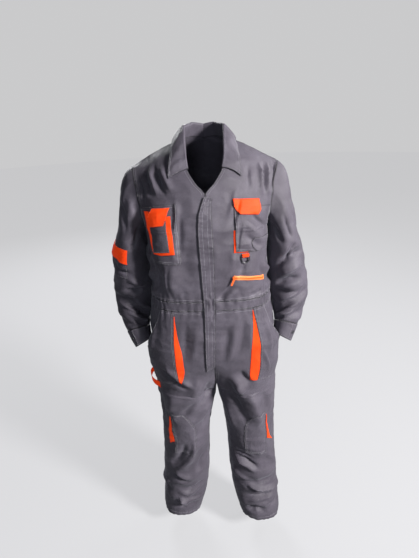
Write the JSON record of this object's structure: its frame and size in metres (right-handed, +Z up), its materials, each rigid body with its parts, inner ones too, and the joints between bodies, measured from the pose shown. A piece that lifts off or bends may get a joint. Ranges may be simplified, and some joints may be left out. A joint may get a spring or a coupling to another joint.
{
  "type": "boiler suit",
  "caption": "Long-sleeved one-piece work suit with a shirt collar, a covered front fastening, bellows pockets and contrast gussets, in its worn form with the wrists at the hip pockets.",
  "frame": {"origin": "level with the top of the wearer's shoulders, midway between the side seams: where the shoulders carry the suit", "axes": "+Z up, -Y the way the wearer faces, +X to the wearer's left"},
  "size_m": [0.6483, 0.2933, 1.5209],
  "materials": {
    "cloth_grey": "dark grey twill, soft sheen on the folds",
    "cloth_orange": "bright orange twill",
    "hard_dark": "satin dark grey",
    "hard_orange": "satin orange paint"
  },
  "bodies": {
    "suit": {"front_right": "cloth_grey", "front_left": "cloth_grey", "back": "cloth_grey", "waistband_right": "cloth_grey", "waistband_left": "cloth_grey", "waistband_back": "cloth_grey", "trouser_front_right": "cloth_grey", "trouser_front_left": "cloth_grey", "trouser_back_right": "cloth_grey", "trouser_back_left": "cloth_grey", "sleeve_right": "cloth_grey", "sleeve_left": "cloth_grey", "cuff_right": "cloth_grey", "cuff_left": "cloth_grey", "cuff_button_right": "hard_dark", "cuff_button_left": "hard_dark", "collar": "cloth_grey", "placket": "cloth_grey", "chest_patch_right": "cloth_grey", "phone_gusset_right": "cloth_orange", "phone_pocket_right": "cloth_grey", "phone_flap_right": "cloth_orange", "chest_pocket_left": "cloth_grey", "chest_gusset_left": "cloth_orange", "chest_flap_left": "cloth_orange", "pen_patch_left": "cloth_grey", "zip_tape_left": "cloth_orange", "zip_slider": "hard_orange", "ring_strap": "cloth_orange", "sleeve_pocket_right": "cloth_grey", "sleeve_flap_right": "cloth_orange", "hip_pocket_right": "cloth_grey", "hip_pocket_left": "cloth_grey", "hip_gusset_right": "cloth_orange", "hip_gusset_left": "cloth_orange", "knee_patch_right": "cloth_grey", "knee_patch_left": "cloth_grey", "knee_gusset_right": "cloth_orange", "knee_gusset_left": "cloth_orange", "tool_loop": "cloth_orange"},
    "d_ring": {"d_ring": "hard_dark"},
    "zip_pull": {"zip_pull": "hard_orange"}
  },
  "joints": [
    {"name": "d_ring_swing", "type": "hinge", "parent": "suit", "child": "d_ring", "pos_m": [0.10178, -0.14295, -0.27697], "axis": [-0.972, -0.2351, 0], "range_deg": [0, 110]},
    {"name": "zip_pull_swing", "type": "hinge", "parent": "suit", "child": "zip_pull", "pos_m": [0.06754, -0.149, -0.3438], "axis": [-0.9218, -0.1012, 0.3741], "range_deg": [0, 140]}
  ]
}
